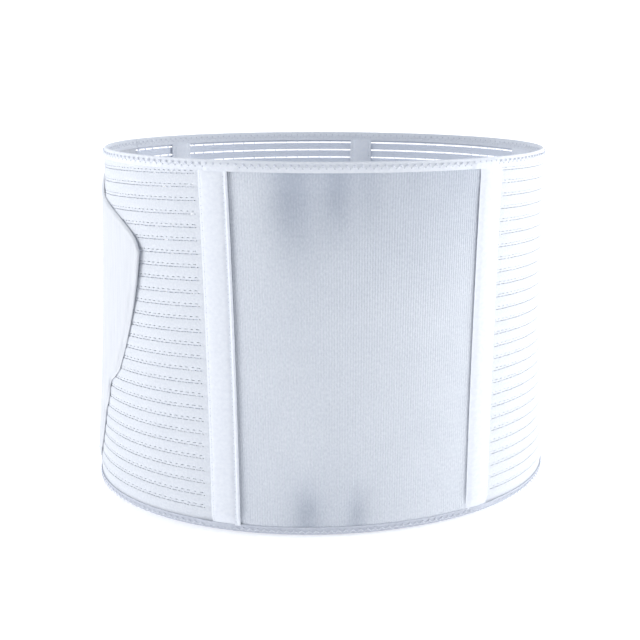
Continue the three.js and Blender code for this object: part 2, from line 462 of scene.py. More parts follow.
white = (0.87, 0.895, 0.945)
# The knit's darker colour is both the darker tone of its yarn and the deepest painted shade.
knit = fabric(
    "fine_ribbed_knit", (0.785, 0.815, 0.87), (0.44, 0.48, 0.56), 0.9, 0.12 * mm, 0.2, knit_weave
)
elastic = fabric(
    "openwork_elastic", (0.79, 0.815, 0.86), (0.65, 0.68, 0.745), 0.85, 0.14 * mm, 0.15, elastic_weave
)
# A brighter and bluer copy of the elastic for the back: painted light on the inside of the back wall,
# which the lamps reach too little.
painted_light_back_elastic = fabric(
    "painted_light_back_elastic", (0.87, 0.91, 0.99), (0.78, 0.825, 0.93), 0.85, 0.14 * mm, 0.15, elastic_weave
)
tape = fabric("seam_tape", white, (0.77, 0.80, 0.87), 0.75, 0.08 * mm, 0.15, tape_weave)
# A brighter copy of the seam tape for the bands inside: painted light on the inside of the wall.
painted_light_inner_tape = fabric(
    "painted_light_inner_tape", (0.92, 0.945, 0.99), (0.84, 0.875, 0.95), 0.75, 0.08 * mm, 0.15, tape_weave
)
# A darker copy of the seam tape for the lower binding: painted shade for the hem, which tucks under
# towards the floor.
painted_shade_hem_tape = fabric(
    "painted_shade_hem_tape", (0.63, 0.655, 0.72), (0.51, 0.54, 0.62), 0.8, 0.08 * mm, 0.15, tape_weave
)
brushed = fabric(
    "brushed_flap", (0.75, 0.77, 0.805), (0.65, 0.67, 0.725), 0.95, 0.10 * mm, 0.3, brushed_weave
)
thread = fabric("sewing_thread", white, (0.80, 0.83, 0.89), 0.55, 0.03 * mm, 0.1, plain_thread)
# The needle holes get a darker colour: painted shade in the holes.
painted_hole_shade = fabric(
    "painted_hole_shade", (0.68, 0.71, 0.78), (0.56, 0.59, 0.67), 0.9, 0.02 * mm, 0.0, plain_thread
)
print("fabrics", [material.name for material in (
    knit, elastic, painted_light_back_elastic, tape, painted_light_inner_tape, painted_shade_hem_tape, brushed, thread, painted_hole_shade
)])


# %% [markdown]
# ## Handing a piece over
# Each finished piece gets its fabric if it has none yet, rides on the part's one body and hides the
# plain solid of the CAD node that it stands for.


# %% Handing a piece over
def hand_over(piece, material, node=None):
    """Dress a piece if its mesh isn't dressed yet, put it on the body and hide the CAD solid it
    replaces.
    """
    if not piece.data.materials:
        piece.data.materials.append(material)
    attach(piece, "root")
    if node:
        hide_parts(node)
    triangles = sum(len(face.vertices) - 2 for face in piece.data.polygons)
    print(piece.name, triangles, "triangles")


# %% [markdown]
# ## Front panel
# The front is one smooth knitted panel. Fine ribs run up it, a rib every 1.8 mm, and a few soft
# folds hang from the upper binding and rise from the hem. It lies lower than the tapes beside it
# and swells a little above the hem. The ribs could be a bump alone, but as shapes they also catch
# the light at the edge, so each rib has four columns of points. A point attribute keeps how much
# shade is painted on the knit, in its folds and along the upper binding, and its fabric reads it.
# In the table of folds, across and width are shares of the panel's width, rise and reach are shares
# of the loop's height, and depth is a share of the fold depth. In the table of swells, place is a
# distance from a seam or from the floor, and a rise below zero is a hollow.

# %% Build the front panel
front_wall, front_drop = 1.6 * mm, 0.6 * mm
front_row_step, front_cut_share = 5.2 * mm, 0.965
knit_rib_depth = 0.075 * mm
panel_low, panel_high = 4.6 * mm, height - 4.8 * mm
fold_depth = 3.0 * mm
bound_share, easing_share = 0.028, 0.045
# Shade painted along the upper binding: its strength, the share across where it is full, and how far
# down it reaches.
top_painted_shade, top_painted_shade_full, top_painted_shade_reach = 0.8, 0.8, 0.27
front_folds = [
    {"across": 0.266, "rise": 0.95, "reach": 0.28, "depth": 1.0, "width": 0.075},
    {"across": 0.42, "rise": 0.95, "reach": 0.20, "depth": 0.85, "width": 0.05},
    {"across": 0.52, "rise": 0.95, "reach": 0.16, "depth": 0.40, "width": 0.04},
    {"across": 0.33, "rise": 0.95, "reach": 0.50, "depth": 0.30, "width": 0.11},
    {"across": 0.31, "rise": 0.05, "reach": 0.15, "depth": 0.8, "width": 0.05},
    {"across": 0.49, "rise": 0.05, "reach": 0.13, "depth": 0.7, "width": 0.04},
    {"across": 0.36, "rise": 0.05, "reach": 0.24, "depth": 0.35, "width": 0.20},
]
knit_swells = [
    {"from": "left seam", "place": 10.5 * mm, "rise": -0.7 * mm, "width": 5 * mm},
    {"from": "right seam", "place": 9 * mm, "rise": 0.3 * mm, "width": 5 * mm},
    {"from": "floor", "place": 9 * mm, "rise": 1.0 * mm, "width": 5 * mm},
    {"from": "floor", "place": 236 * mm, "rise": 0.4 * mm, "width": 6 * mm},
]


def folding(across, up):
    """How deep the knit is in a fold, from 0 to about 1."""
    total = 0.0
    for fold in front_folds:
        rise = np.clip(np.abs(up - fold["rise"]) / fold["reach"], 0, 1)
        upright_part = np.cos(rise * math.pi / 2) ** 2
        total = total + fold["depth"] * bump(across - fold["across"], fold["width"]) * upright_part
    return total


def fold_relief(across, up):
    """Soft hollows, which the bindings hold shut at the two edges."""
    from_edge = 0.5 - np.abs(up - 0.5)
    return -fold_depth * folding(across, up) * eased((from_edge - bound_share) / easing_share)


def knit_painted_shade(across, up):
    """How much shade is painted on the knit: in its folds, and along the upper binding towards the
    right.
    """
    top_shade = top_painted_shade * eased(across / top_painted_shade_full) * bump(1 - up, top_painted_shade_reach)
    return folding(across, up) + top_shade


def front_relief(across, z, width):
    """How far the knit stands out from its plain place."""
    ribs = round(width / knit_rib)
    ribbing = knit_rib_depth * np.cos(math.tau * ribs * across)
    distances = {"left seam": across * width, "right seam": (1 - across) * width, "floor": z}
    swells = 0.0
    for swell in knit_swells:
        away = distances[swell["from"]] - swell["place"]
        swells = swells + swell["rise"] * bump(away, swell["width"])
    return ribbing + fold_relief(across, z / height) + swells


front_width = 2 * front_half_top + tape_width
rib_count = round(front_width / knit_rib)
across = np.linspace(0, 1, rib_count * 4 + 1)
rib_lengths = across * rib_count * knit_rib
front_z = rows_between(panel_low, panel_high, front_row_step)
front_angles = angles_between(front_seams["left"], front_seams["right"], across, front_z)
relief = front_relief(across[:, None], front_z[None, :], front_width)
front_piece = closed_cloth(
    "front_knit",
    wall(front_angles, front_z, relief - front_drop),
    wall(front_angles, front_z, relief - front_drop - front_wall),
    lengths=rib_lengths,
)
# The knit's painted shade, in its folds and along the upper binding, is kept at its points.
painted_shade = knit_painted_shade(across[:, None], front_z[None, :] / height).ravel()
painted_shade_layer = front_piece.data.attributes.new("painted_shade", "FLOAT", "POINT")
painted_shade_layer.data.foreach_set("value", np.tile(painted_shade, 2))
hand_over(front_piece, knit, "front_panel")

# %% [markdown]
# ## Openwork elastic
# The side and back panels are ribbed elastic, with a line of openwork between every two ribs. At
# the sides a line is two rows of small slits with a narrow strand between them. At the back it is
# one row of long slits, which light shines through. The rows of the sheet follow the slits. A node
# tree then does what repeats: it lets the cloth sink towards each line, moves it a little as yarn
# is never quite even, and takes out the faces that are slits. A thread or two stays between one
# slit and the next.


# %% The node tree of the openwork
def new_tree(name, sizes):
    """A Geometry Nodes tree with a geometry input, float inputs and a material input."""
    tree = bpy.data.node_groups.new(name, "GeometryNodeTree")
    shelf = tree.interface
    shelf.new_socket("Geometry", in_out="INPUT", socket_type="NodeSocketGeometry")
    for label, value in sizes.items():
        socket = shelf.new_socket(label, in_out="INPUT", socket_type="NodeSocketFloat")
        socket.default_value = value
    shelf.new_socket("Material", in_out="INPUT", socket_type="NodeSocketMaterial")
    shelf.new_socket("Geometry", in_out="OUTPUT", socket_type="NodeSocketGeometry")
    bench = Bench(tree)
    inside = bench.node("NodeGroupInput")
    return bench, {socket.name: Wire(bench, socket) for socket in inside.outputs if socket.name}


def finish_tree(bench, geometry, material):
    """End a tree with real meshes that have their material."""
    real = bench.node("GeometryNodeRealizeInstances", Geometry=geometry)
    dressed = bench.node(
        "GeometryNodeSetMaterial", Geometry=bench.wire(real), Material=material
    )
    bench.join(bench.node("NodeGroupOutput").inputs["Geometry"], bench.wire(dressed))
    return bench.tree


def measured(bench, name):
    """A number that the guide mesh keeps at each of its points."""
    return bench.wire(
        bench.node("GeometryNodeInputNamedAttribute", {"data_type": "FLOAT"}, Name=name),
        "Attribute",
    )


uneven_grain = 1.6 * mm


def openwork_tree():
    """Ribs, uneven yarn and slits on a sheet whose points know their length along and height."""
    bench, given = new_tree("openwork", {
        "Rib Pitch": 8.64 * mm, "Highest Line": 241.5 * mm, "Lowest Line": 12 * mm,
        "Slit Height": 0.6 * mm, "Strand Height": 1.3 * mm, "Dash Pitch": 4.2 * mm,
        "Thread Width": 1.2 * mm, "Upper Dash": 2.1 * mm, "Start": 0.0, "End": 1.0,
        "Rib Relief": 0.6 * mm, "Unevenness": 0.8 * mm,
    })
    along, up = measured(bench, "along"), measured(bench, "up")
    slit, strand, dash = given["Slit Height"], given["Strand Height"], given["Dash Pitch"]
    from_line = (up - given["Highest Line"] + given["Rib Pitch"] / 2) % given["Rib Pitch"]
    from_line = from_line - given["Rib Pitch"] / 2
    away = abs(from_line)
    sink = (1 - away / (given["Rib Pitch"] / 2)) ** 3.0
    facing = bench.wire(bench.node("GeometryNodeInputNormal"))
    inwards = bench.scaled(facing, sink * given["Rib Relief"] * -1.0)
    spot = bench.wire(bench.node("GeometryNodeInputPosition"))
    drift = bench.node("ShaderNodeTexNoise", Vector=spot, Scale=1 / uneven_grain, Detail=0.0)
    drift = bench.node("ShaderNodeSeparateXYZ", Vector=bench.wire(drift, "Color"))
    level = bench.vector("CROSS_PRODUCT", (0, 0, 1), facing)
    sideways = bench.scaled(level, (bench.wire(drift, "X") - 0.5) * given["Unevenness"] * 2.0)
    upwards = bench.node(
        "ShaderNodeCombineXYZ", Z=(bench.wire(drift, "Y") - 0.5) * given["Unevenness"] * 0.5
    )
    shift = bench.vector("ADD", bench.vector("ADD", sideways, bench.wire(upwards)), inwards)
    sunk = bench.node("GeometryNodeSetPosition", Geometry=given["Geometry"], Offset=shift)
    in_slit = (away > strand / 2) * (away < strand / 2 + slit)
    in_dash = along % dash
    upper_dash = (in_dash > given["Thread Width"]) * (from_line > 0.0)
    upper_dash = upper_dash * (in_dash < given["Thread Width"] + given["Upper Dash"])
    lower_dash = (((along + dash * 0.5) % dash) > given["Thread Width"]) * (from_line < 0.0)
    reach = (along > given["Start"]) * (along < given["End"])
    reach = reach * (up > given["Lowest Line"]) * (up < given["Highest Line"] + strand + slit)
    pierced = in_slit * (upper_dash + lower_dash) * reach
    opened = bench.node(
        "GeometryNodeDeleteGeometry", {"domain": "FACE"},
        Geometry=bench.wire(sunk), Selection=pierced > 0.5,
    )
    return finish_tree(bench, bench.wire(opened), given["Material"])


def grow(name, guide, tree, sizes, material, wall_thickness=None):
    """The plain mesh that a tree makes on a guide, with a wall's thickness where one is given."""
    modifier = guide.modifiers.new(tree.name, "NODES")
    modifier.node_group = tree
    values = {**sizes, "Material": material}
    for socket in tree.interface.items_tree:
        if socket.in_out == "INPUT" and socket.name in values:
            modifier[socket.identifier] = values[socket.name]
    if wall_thickness:
        shell = guide.modifiers.new("wall", "SOLIDIFY")
        shell.thickness, shell.offset, shell.use_rim = wall_thickness, -1.0, True
    depsgraph = bpy.context.evaluated_depsgraph_get()
    mesh = bpy.data.meshes.new_from_object(
        guide.evaluated_get(depsgraph), preserve_all_data_layers=True, depsgraph=depsgraph
    )
    bpy.data.objects.remove(guide)
    lay_pattern(mesh)
    return shown(name, mesh)


def guide_mesh(name, places, edges, faces, **attributes):
    """A mesh that a tree grows a piece on, with what its points know."""
    mesh = bpy.data.meshes.new(name)
    mesh.from_pydata(places.reshape(-1, 3).tolist(), edges, faces)
    for label, values in attributes.items():
        kind = "FLOAT_VECTOR" if values.shape[-1] == 3 and values.ndim > 1 else "FLOAT"
        layer = mesh.attributes.new(label, kind, "POINT")
        layer.data.foreach_set("vector" if kind == "FLOAT_VECTOR" else "value", values.ravel())
    guide = bpy.data.objects.new(name, mesh)
    bpy.context.scene.collection.objects.link(guide)
    return guide


openwork = openwork_tree()
print("openwork tree", len(openwork.nodes), "nodes")

# %% [markdown]
# ### The sheets that are pierced
# Threads between slits need columns of points at their edges, and slits need rows. So the columns
# and rows are placed from the same sizes that the tree gets. A plain margin stays beside each seam.
# Each panel's margins and tilts are given for its left and its right seam, seen from outside.

# %% Side and back panels
elastic_wall, rib_relief = 1.4 * mm, 0.6 * mm
narrowest_column = 0.4 * mm
level_below, drop_span, unmoved_at = 15 * mm, 290 * mm, 17 * mm
side_cut = {
    "Rib Pitch": 8.64 * mm, "Slit Height": 0.5 * mm, "Strand Height": 1.35 * mm,
    "Dash Pitch": 4.2 * mm, "Thread Width": 0.8 * mm, "Upper Dash": 2.1 * mm,
    "Unevenness": 0.8 * mm,
}
back_cut = {
    "Rib Pitch": 6.3 * mm, "Slit Height": 0.95 * mm, "Strand Height": 0.0,
    "Dash Pitch": 9.0 * mm, "Thread Width": 0.3 * mm, "Upper Dash": 0.0,
    "Unevenness": 0.1 * mm,
}
highest_line = height - 8.5 * mm
lowest_line = 11 * mm


def elastic_rows(cut):
    """Heights at each slit's edges and inside the ribs."""
    pitch, strand = cut["Rib Pitch"], cut["Strand Height"]
    lines = np.arange(highest_line, lowest_line - pitch, -pitch)
    own = np.array([strand / 2, strand / 2 + cut["Slit Height"]])
    inside = np.linspace(own[-1], pitch - own[-1], 4)[1:-1]
    steps = np.unique(np.concatenate([own, -own, inside]).round(7))
    heights = (lines[:, None] + steps[None, :]).ravel()
    heights = np.unique(heights.round(7))
    keep = (heights > panel_low + 1 * mm) & (heights < panel_high - 1 * mm)
    return np.concatenate([[panel_low], heights[keep], [panel_high]])


def rib_drop(tilt, z, from_seam):
    """How far a rib has sunk at a length from the front seam. Ribs near the hem stay level."""
    share = np.sin(math.pi * np.clip((z - level_below) / drop_span, 0, 1))
    return tilt * share * (from_seam - unmoved_at)


def openwork_panel(name, left, right, cut, margins, tilts, cloth):
    """Elastic between two seams, pierced except for a margin beside each.

    The ribs slope down away from a seam by the tilt given for it.
    """
    rows = elastic_rows(cut)
    dash, thread_width = cut["Dash Pitch"], cut["Thread Width"]
    middle = height / 2
    start, end = (np.interp(line_at(line, middle), girth_angles, girth_lengths)
                  for line in (left, right))
    periods = np.arange(math.ceil(start / dash), math.floor(end / dash) + 1) * dash
    marks = np.array([0, thread_width, dash / 2, dash / 2 + thread_width])
    inner_columns = np.unique((periods[:, None] + marks[None, :]).ravel().round(7))
    keep = (inner_columns > start + narrowest_column) & (inner_columns < end - narrowest_column)
    along = np.concatenate([[start], inner_columns[keep], [end]])
    shares = (along - start) / (end - start)
    angles = angles_between(left, right, shares, rows)
    grid = np.broadcast_to(along[:, None], angles.shape)
    ups = np.broadcast_to(rows[None, :], angles.shape)
    drop = rib_drop(tilts[0], ups, grid - start) + rib_drop(tilts[1], ups, end - grid)
    drop[:, -1] = 0
    guide = guide_mesh(
        name + "_guide", wall(angles, rows - drop), [],
        grid_faces(*angles.shape).tolist(), along=grid, up=ups,
    )
    sizes = {
        **cut, "Highest Line": highest_line, "Lowest Line": lowest_line,
        "Start": start + margins[0], "End": end - margins[1],
        "Rib Relief": rib_relief,
    }
    piece = grow(name, guide, openwork, sizes, cloth, elastic_wall)
    return piece, (end - start, panel_high - panel_low)


seam_half_gap = 0.2 * mm
elastic_panels = [
    {"name": "side_elastic_left", "node": "side_panel_left", "cloth": elastic, "cut": side_cut,
     "left": landing_line, "right": front_seams["left"],
     "margins": (0, 12.5 * mm), "tilts": (0, 0.06)},
    {"name": "side_elastic_right", "node": "side_panel_right", "cloth": elastic,
     "cut": {**side_cut, "Slit Height": 0.4 * mm},
     "left": front_seams["right"], "right": side_line,
     "margins": (10.4 * mm, 3 * mm), "tilts": (0.03, 0)},
    {"name": "back_elastic_sheet", "node": "back_panel", "cloth": painted_light_back_elastic, "cut": back_cut,
     "left": side_line, "right": closure_line + math.tau,
     "margins": (13.5 * mm, 1 * mm), "tilts": (0, 0)},
]
for panel in elastic_panels:
    piece, flat = openwork_panel(
        panel["name"], beside(panel["left"], seam_half_gap), beside(panel["right"], -seam_half_gap),
        panel["cut"], panel["margins"], panel["tilts"], panel["cloth"],
    )
    hand_over(piece, panel["cloth"], panel["node"])

# %% [markdown]
# ## Landing
# The end of the belt that the flap closes on is plain cloth. Only its top shows outside, above the
# flap, and its inner face shows past the seam inside.

# %% Build the landing
landing_wall, landing_columns, landing_wave = 2.0 * mm, 65, 0.08 * mm
landing_z = rows_between(panel_low, panel_high, 6 * mm)
landing_angles = angles_between(
    beside(closure_line, seam_half_gap), beside(landing_line, -seam_half_gap),
    np.linspace(0, 1, landing_columns), landing_z,
)
landing_waves = landing_wave * np.cos(np.arange(landing_columns)[:, None] * math.pi / 2)
landing_piece = closed_cloth(
    "landing_cloth",
    wall(landing_angles, landing_z, landing_waves),
    wall(landing_angles, landing_z, landing_waves - landing_wall),
)
hand_over(landing_piece, brushed, "landing_panel")

# %% [markdown]
# ## Bindings
# A strip of cloth is folded over each edge of the loop and sewn through with a zigzag. In section
# it is a long U: two legs and a round turn over the edge. The needle pulls the cloth in at each
# turn of the zigzag, so the same stitch count gives the dimples here and the thread further on.

# %% Build the two bindings
binding_wall, layer_gap = 0.6 * mm, 0.35 * mm
binding_out, binding_in = 0.65 * mm, -3.15 * mm
turn_height, shoulder = 1.0 * mm, 4.2 * mm
rim_thickness, under_tuck = 2.1 * mm, 2.0 * mm
binding_heights = {"top": 6.9 * mm, "bottom": 7.2 * mm}
zigzag_pitch = 5.0 * mm
zigzag_swing = 0.95 * mm
pinch_depth, pinch_width = 0.3 * mm, 1.1 * mm
tape_bulge, bulge_run = 0.7 * mm, 4 * mm
zigzag_count = round(float(girth) / zigzag_pitch)
binding_from = float(beside(closure_line, seam_half_gap)[1])
binding_to = float(beside(closure_line, -seam_half_gap)[1]) + math.tau


def fold_section(leg, steps=9):
    """Distances outwards and depths from the edge, from the inner leg's end round to the outer's."""
    middle = (binding_out + binding_in) / 2
    round_part = np.linspace(math.pi, 0, steps)
    across = middle + rim_thickness / 2 * np.cos(round_part)
    down = turn_height * (1 - np.sin(round_part))
    legs = np.concatenate([np.linspace(leg, shoulder, 6), np.linspace(shoulder, turn_height, 5)[1:-1]])
    lean = eased((shoulder - legs) / (shoulder - turn_height))
    outer_leg = binding_out + (middle + rim_thickness / 2 - binding_out) * lean
    inner_leg = binding_in + (middle - rim_thickness / 2 - binding_in) * lean
    return (
        np.concatenate([inner_leg, across, outer_leg[::-1]]),
        np.concatenate([legs, down, legs[::-1]]),
    )


def over_tapes(angles):
    """1 where the binding passes over a front tape, easing to 0 beside it."""
    total = 0.0
    for seam in front_seams.values():
        middle = seam.mean()
        away = np.abs(angles - middle) * half_axes(height / 2)[0]
        total = total + np.clip(1 - (away - tape_width / 2) / bulge_run, 0, 1)
    return total


def ring_angles(count, z):
    """Angles of evenly spaced places round the loop, from one end of a binding to the other."""
    lengths = np.interp([binding_from, binding_to], girth_angles, girth_lengths)
    return np.interp(np.linspace(*lengths, count), girth_lengths, girth_angles)


def binding(name, node, leg, edge_z, upwards):
    """A strip folded over the edge at a height. Upwards is true for the binding on the upper edge."""
    columns = zigzag_count * 4 + 1
    angles = ring_angles(columns, edge_z)
    across_outer, down_outer = fold_section(leg)
    middle = (binding_out + binding_in) / 2
    from_middle = np.maximum(np.abs(across_outer - middle) - binding_wall, 0)
    across_inner = middle + np.sign(across_outer - middle) * from_middle
    down_inner = np.maximum(down_outer, binding_wall)
    if upwards:
        across_outer, down_outer = across_outer[::-1], down_outer[::-1]
        across_inner, down_inner = across_inner[::-1], down_inner[::-1]
    sign = -1 if upwards else 1
    phase = np.arange(columns) % 4
    pinch = 0.0
    for turn, side in ((0, 1), (2, -1)):
        at_stitch = (phase == turn)[:, None]
        from_stitch = down_outer[None, :] - leg / 2 + sign * side * zigzag_swing
        pinch = pinch - pinch_depth * at_stitch * bump(from_stitch, pinch_width)
    outside = across_outer > middle
    bulge = tape_bulge * over_tapes(angles)[:, None] * (outside & (down_outer > turn_height))[None, :]
    puffed = across_outer[None, :] + pinch * np.where(outside, 1, -1)[None, :] + bulge
    across_inner = across_inner[None, :] + bulge
    if not upwards:
        puffed = puffed - under_tuck * (1 - down_outer / leg) ** 1.5
        across_inner = across_inner - under_tuck * (1 - down_inner / leg) ** 1.5
    outer = wall(angles[:, None], edge_z + sign * down_outer[None, :], puffed)
    inner = wall(angles[:, None], edge_z + sign * down_inner[None, :], across_inner)
    piece = closed_cloth(name, outer, inner)
    # The lower binding takes the darker hem tape, whose colour is painted shade.
    hand_over(piece, tape if upwards else painted_shade_hem_tape, node)
    loop = float(girth) * half_axes(edge_z)[0] / half_axes(height / 2)[0]


binding("top_binding_cloth", "top_binding", binding_heights["top"], height, True)
binding("bottom_binding_cloth", "bottom_binding", binding_heights["bottom"], 0.0, False)

# %% [markdown]
# ## Front tapes
# A tape covers each front seam, sewn down along its outer edge. The left one's front edge is folded
# round a cord, which makes a narrow round piping, and a second line of stitches beside the piping
# holds it. The right one's front edge lies flat. Each tape swells in the middle.

# %% Build the front tapes
tape_wall, tape_thickness = 1.1 * mm, 0.9 * mm
piping_width, piping_rise = 1.7 * mm, {"left": 0.8 * mm, "right": 0.0}
front_stitch, outer_stitch = 3.0 * mm, 18.9 * mm
tape_low, tape_high = 6.2 * mm, height - 6.4 * mm
tape_swell, stitch_sink, edge_droop, flat_edge_droop = 0.55 * mm, 0.4 * mm, 0.8 * mm, 0.55 * mm
pucker_depth, pucker_length, pucker_drift = 0.2 * mm, 9.5 * mm, 31 * mm
end_sink, end_run = 0.4 * mm, 5 * mm


def tape_face(hand, across, z):
    """Distance outwards of the tape's outer face, by the place across it from the piping."""
    from_cord = (across - piping_width / 2) / (piping_width / 2)
    cord = piping_rise[hand] * np.sqrt(np.clip(1 - from_cord**2, 0, 1))
    sewn = bump(across - front_stitch, 1.1 * mm) * (hand == "left")
    sewn = sewn + bump(across - outer_stitch, 0.9 * mm)
    body = np.clip((across - front_stitch) / (outer_stitch - front_stitch), 0, 1)
    swell = tape_swell * np.sin(math.pi * body) ** 0.8
    edge = -edge_droop * bump(across - tape_width, 0.7 * mm)
    edge = edge - (flat_edge_droop if hand == "right" else 0) * bump(across, 2.5 * mm)
    turns = z / pucker_length * math.tau + 1.7 * np.sin(z / pucker_drift) + across / (4 * mm)
    pucker = pucker_depth * np.sin(turns) * (0.5 + sewn)
    from_end = np.minimum(z - binding_heights["bottom"], height - binding_heights["top"] - z)
    free = np.clip(from_end / end_run, 0, 1)
    relief = (cord + swell + pucker) * (0.15 + 0.85 * free * (2 - free))
    sunk = end_sink * (1 - free) + stitch_sink * sewn * free
    return layer_gap + tape_thickness - sunk + relief + edge


tape_marks = np.unique(np.concatenate([
    np.linspace(0, piping_width, 9), np.linspace(piping_width, tape_width, 34),
]).round(7))
tape_z = rows_between(tape_low, tape_high, 1.9 * mm)
for hand, side in (("left", -1), ("right", 1)):
    across_tape = tape_marks if side > 0 else tape_marks[::-1]
    columns = line_at(front_edges[hand], tape_z)[None, :]
    columns = columns + side * across_tape[:, None] / edge_per_angle(columns, tape_z[None, :])
    face = tape_face(hand, across_tape[:, None], tape_z[None, :])
    piece = closed_cloth(
        f"tape_cloth_{hand}",
        wall(columns, tape_z, face),
        wall(columns, tape_z, np.minimum(layer_gap, face - 0.3 * mm)),
    )
    hand_over(piece, tape, f"front_tape_{hand}")

# %% [markdown]
# ## Bands inside
# Flat tapes are sewn upright inside the wall: one over the right side seam, and two at the back
# that hold the stays. The stays swell them between their stitch lines.

# %% Build the inner bands
band_out = -2.2 * mm - layer_gap
band_z = rows_between(tape_low, tape_high, 3.5 * mm)
band_inset, groove_depth, groove_width = 2 * mm, 0.45 * mm, 0.8 * mm
wrinkle_depth, wrinkle_length, band_edge_droop = 0.12 * mm, 13 * mm, 0.7 * mm
inner_bands = [
    {"name": "seam_band_cloth", "node": "side_seam_band", "line": side_line,
     "width": 26 * mm, "swell": 0.1 * mm},
    {"name": "stay_cloth_left", "node": "stay_tape_left", "line": stay_lines["left"],
     "width": 18 * mm, "swell": 0.9 * mm},
    {"name": "stay_cloth_right", "node": "stay_tape_right", "line": stay_lines["right"],
     "width": 18 * mm, "swell": 0.9 * mm},
]


def inner_band(name, node, line, width, swell):
    """A tape inside the wall, sewn down a little way in from each of its edges."""
    shares = np.linspace(0, 1, 25)
    columns = angles_between(beside(line, -width / 2), beside(line, width / 2), shares, band_z)
    from_edge = np.minimum(shares, 1 - shares)[:, None] * width
    body = np.clip((from_edge - band_inset) / (width / 2 - band_inset), 0, 1)
    groove = groove_depth * bump(from_edge - band_inset, groove_width)
    turns = band_z[None, :] / wrinkle_length * math.tau + 4 * shares[:, None]
    wrinkle = wrinkle_depth * np.sin(turns)
    raised = swell * np.sin(body * math.pi / 2) ** 0.8 - groove
    raised = raised - band_edge_droop * bump(from_edge, 0.7 * mm)
    piece = closed_cloth(
        name,
        wall(columns, band_z, band_out),
        wall(columns, band_z, band_out - tape_wall - raised - wrinkle),
    )
    hand_over(piece, painted_light_inner_tape, node)


for band in inner_bands:
    inner_band(**band)

# %% [markdown]
# ## Closure flap
# The flap is a plain brushed cloth, sewn to the end of the back panel. It comes round over the
# landing and the ribbed side and narrows to a blunt tip, with a long curved edge below. High up
# its free edge lifts a little from the ribs, which draws a dark line beside it. A shallow upright
# groove shows a seam.
# A row of the table is a column of the flap, from its free edge to its root. Along is a share of
# the flap's length and up is a share of its height, for the column's upper and lower end.

# %% Build the flap
flap_wall, edge_round, edge_slope = 1.8 * mm, 2.0 * mm, 7 * mm
flap_low, flap_high, flap_cut_share = 14 * mm, 232 * mm, 0.70
lead_bulge, lead_share = 0.028, 0.35
lift_height, lift_run, lift_from, lift_over = 2.0 * mm, 7 * mm, 120 * mm, 60 * mm
edge_groove, groove_inset = 0.25 * mm, 4.0 * mm
seam_depth, seam_along, seam_top = 0.35 * mm, 189 * mm, 214 * mm
ripple_depth, ripple_length = 0.12 * mm, 14 * mm
thinnest_round, thinnest_slope = 0.4 * mm, 0.5 * mm
flap_outline = [
    {"top_along": 0.00, "top_up": 0.79, "low_along": 0.20, "low_up": 0.38},
    {"top_along": 0.03, "top_up": 0.825, "low_along": 0.25, "low_up": 0.35},
    {"top_along": 0.10, "top_up": 0.86, "low_along": 0.30, "low_up": 0.32},
    {"top_along": 0.20, "top_up": 0.893, "low_along": 0.33, "low_up": 0.26},
    {"top_along": 0.33, "top_up": 0.92, "low_along": 0.375, "low_up": 0.207},
    {"top_along": 0.42, "top_up": 0.935, "low_along": 0.40, "low_up": 0.155},
    {"top_along": 0.50, "top_up": 0.98, "low_along": 0.46, "low_up": 0.07},
    {"top_along": 0.60, "top_up": 1.00, "low_along": 0.58, "low_up": 0.00},
    {"top_along": 1.00, "top_up": 1.00, "low_along": 1.00, "low_up": 0.00},
]


def smooth_through(values, shares):
    """A curve through a few values, rounded at each of them."""
    knots = np.linspace(0, 1, len(values))
    slopes = np.gradient(values, knots)
    place = np.clip(np.searchsorted(knots, shares, side="right") - 1, 0, len(knots) - 2)
    step = knots[1]
    t = (shares - knots[place]) / step
    v0, v1, s0, s1 = values[place], values[place + 1], slopes[place], slopes[place + 1]
    return (
        (2 * t**3 - 3 * t**2 + 1) * v0 + (t**3 - 2 * t**2 + t) * s0 * step
        + (3 * t**2 - 2 * t**3) * v1 + (t**3 - t**2) * s1 * step
    )


flap_shares = np.linspace(0, 1, 161)
outline = {
    key: smooth_through(np.array([row[key] for row in flap_outline]), flap_shares)
    for key in flap_outline[0]
}
flap_ups = np.linspace(0, 1, 97)
leading = lead_bulge * np.clip(1 - flap_shares / lead_share, 0, 1)[:, None]
along = outline["low_along"][:, None] * (1 - flap_ups) + outline["top_along"][:, None] * flap_ups
along = along - leading * 4 * flap_ups * (1 - flap_ups)
rise = outline["low_up"][:, None] * (1 - flap_ups) + outline["top_up"][:, None] * flap_ups
flap_z = flap_low + (flap_high - flap_low) * rise
flap_along = flap_tip + (flap_root - flap_tip) * along
flap_angles = angle_along(flap_along, flap_z)
from_lead = np.abs(flap_along - flap_along[:1, :])
from_top = np.abs(flap_z - flap_z[:, -1:])
from_low = np.abs(flap_z - flap_z[:, :1])
from_free_edge = np.minimum(from_lead, np.minimum(from_top, from_low))
high_up = np.clip((flap_z - lift_from) / lift_over, 0, 1)
lift = lift_height * np.exp(-from_lead / lift_run) * high_up
to_round = np.clip(1 - from_free_edge / edge_round, 0, 1)
sloped = 1 - eased(from_free_edge / edge_slope)
rolled = high_up * (flap_wall - thinnest_round) * (np.sqrt(1 - to_round**2) - 1)
rolled = rolled - (1 - high_up) * (flap_wall - thinnest_slope) * sloped
rolled = rolled - edge_groove * bump(from_free_edge - groove_inset, groove_width)
below_top = flap_z < seam_top
seam_groove = -seam_depth * bump(np.abs(flap_along) - seam_along, groove_width) * below_top
ripple = ripple_depth * np.sin(np.abs(flap_along) / ripple_length * math.tau)
flap_face = layer_gap + flap_wall + lift + rolled + seam_groove + ripple
flap_piece = closed_cloth(
    "flap_cloth",
    wall(flap_angles, flap_z, flap_face)[::-1],
    wall(flap_angles, flap_z, layer_gap + lift)[::-1],
    cut=-math.pi,
)
hand_over(flap_piece, brushed, "closure_flap")
